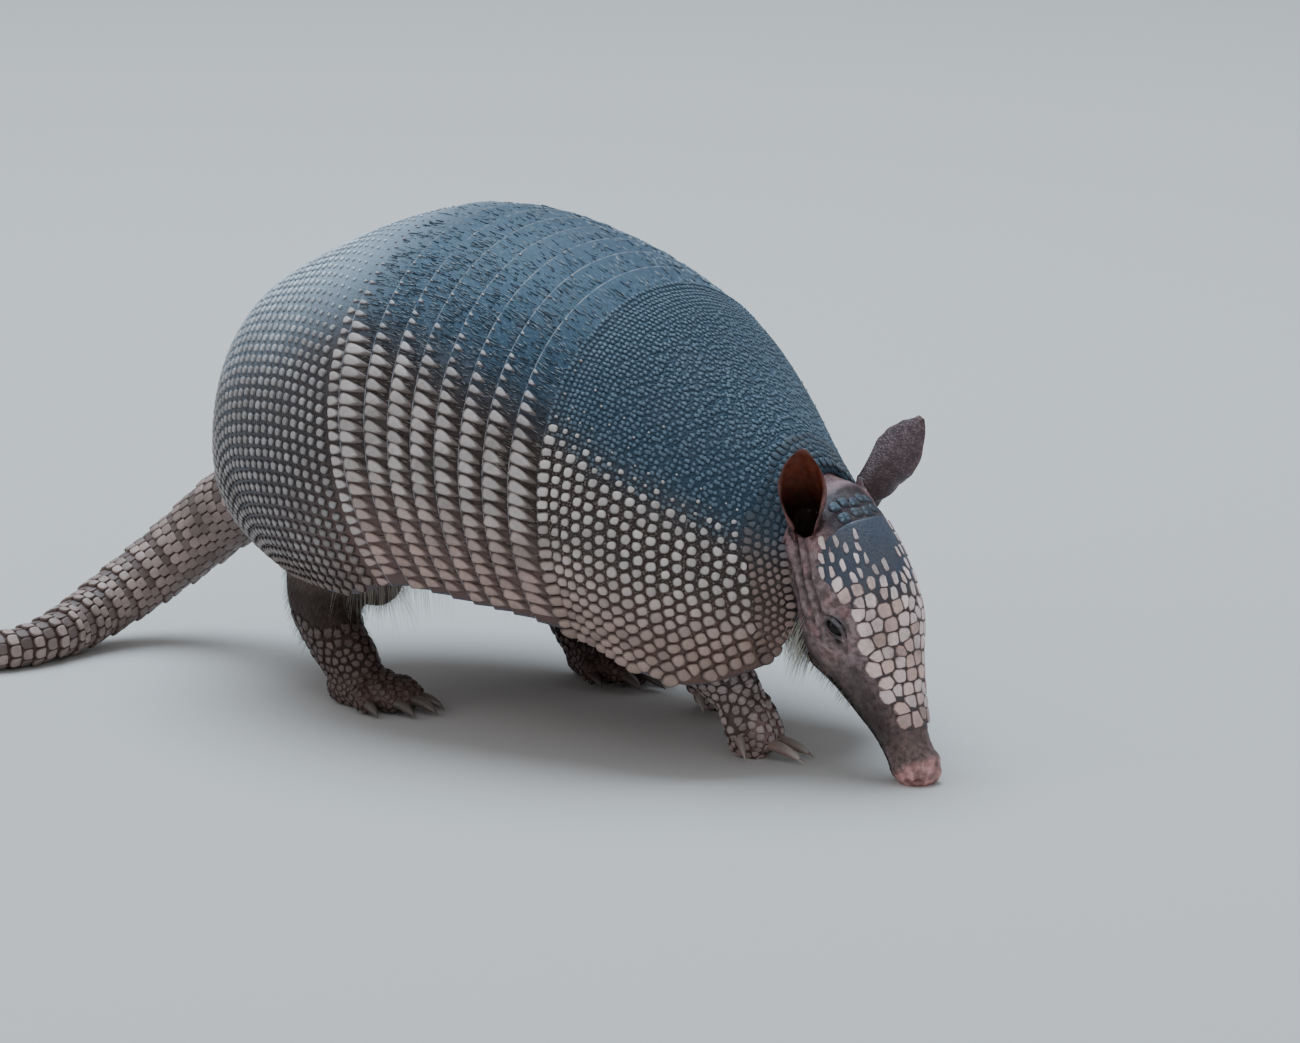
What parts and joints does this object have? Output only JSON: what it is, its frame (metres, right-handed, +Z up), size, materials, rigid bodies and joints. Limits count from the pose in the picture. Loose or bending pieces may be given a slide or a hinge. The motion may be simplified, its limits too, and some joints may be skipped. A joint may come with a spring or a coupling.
{
  "type": "armadillo",
  "caption": "Life-size armadillo standing with its nose to the ground: banded shell, plated head, scaly legs with long claws, and a ringed tail laid along the floor.",
  "frame": {"origin": "on the floor, under the middle of the whole animal's bounding box", "axes": "+X from the tail towards the head, +Y to the animal's left, +Z up"},
  "size_m": [0.5778, 0.228, 0.1877],
  "materials": {
    "shell": "satin horn over bone",
    "band": "satin horn over bone",
    "head_shield": "satin horn scutes",
    "hide": "matt, wrinkled",
    "leg_hide": "matt, scaly",
    "tail_rings": "matt, horny rings",
    "claw": "smooth horn",
    "eye": "wet and glossy"
  },
  "bodies": {
    "root": {"scapular_shield": "shell", "pelvic_shield": "shell", "band_1": "band", "band_2": "band", "band_3": "band", "band_4": "band", "band_5": "band", "band_6": "band", "band_7": "band", "band_8": "band", "trunk": "hide", "head": "hide", "neck": "hide", "ear_right": "hide", "ear_left": "hide", "head_shield": "head_shield", "eye_right": "eye", "eye_left": "eye", "tail_base": "tail_rings", "tail_middle": "tail_rings", "tail_tip": "tail_rings", "fore_leg_right": "leg_hide", "fore_claw_right_1": "claw", "fore_claw_right_2": "claw", "fore_claw_right_3": "claw", "fore_claw_right_4": "claw", "fore_leg_left": "leg_hide", "fore_claw_left_1": "claw", "fore_claw_left_2": "claw", "fore_claw_left_3": "claw", "fore_claw_left_4": "claw", "hind_leg_right": "leg_hide", "hind_claw_right_1": "claw", "hind_claw_right_2": "claw", "hind_claw_right_3": "claw", "hind_claw_right_4": "claw", "hind_claw_right_5": "claw", "hind_leg_left": "leg_hide", "hind_claw_left_1": "claw", "hind_claw_left_2": "claw", "hind_claw_left_3": "claw", "hind_claw_left_4": "claw", "hind_claw_left_5": "claw"}
  },
  "joints": []
}
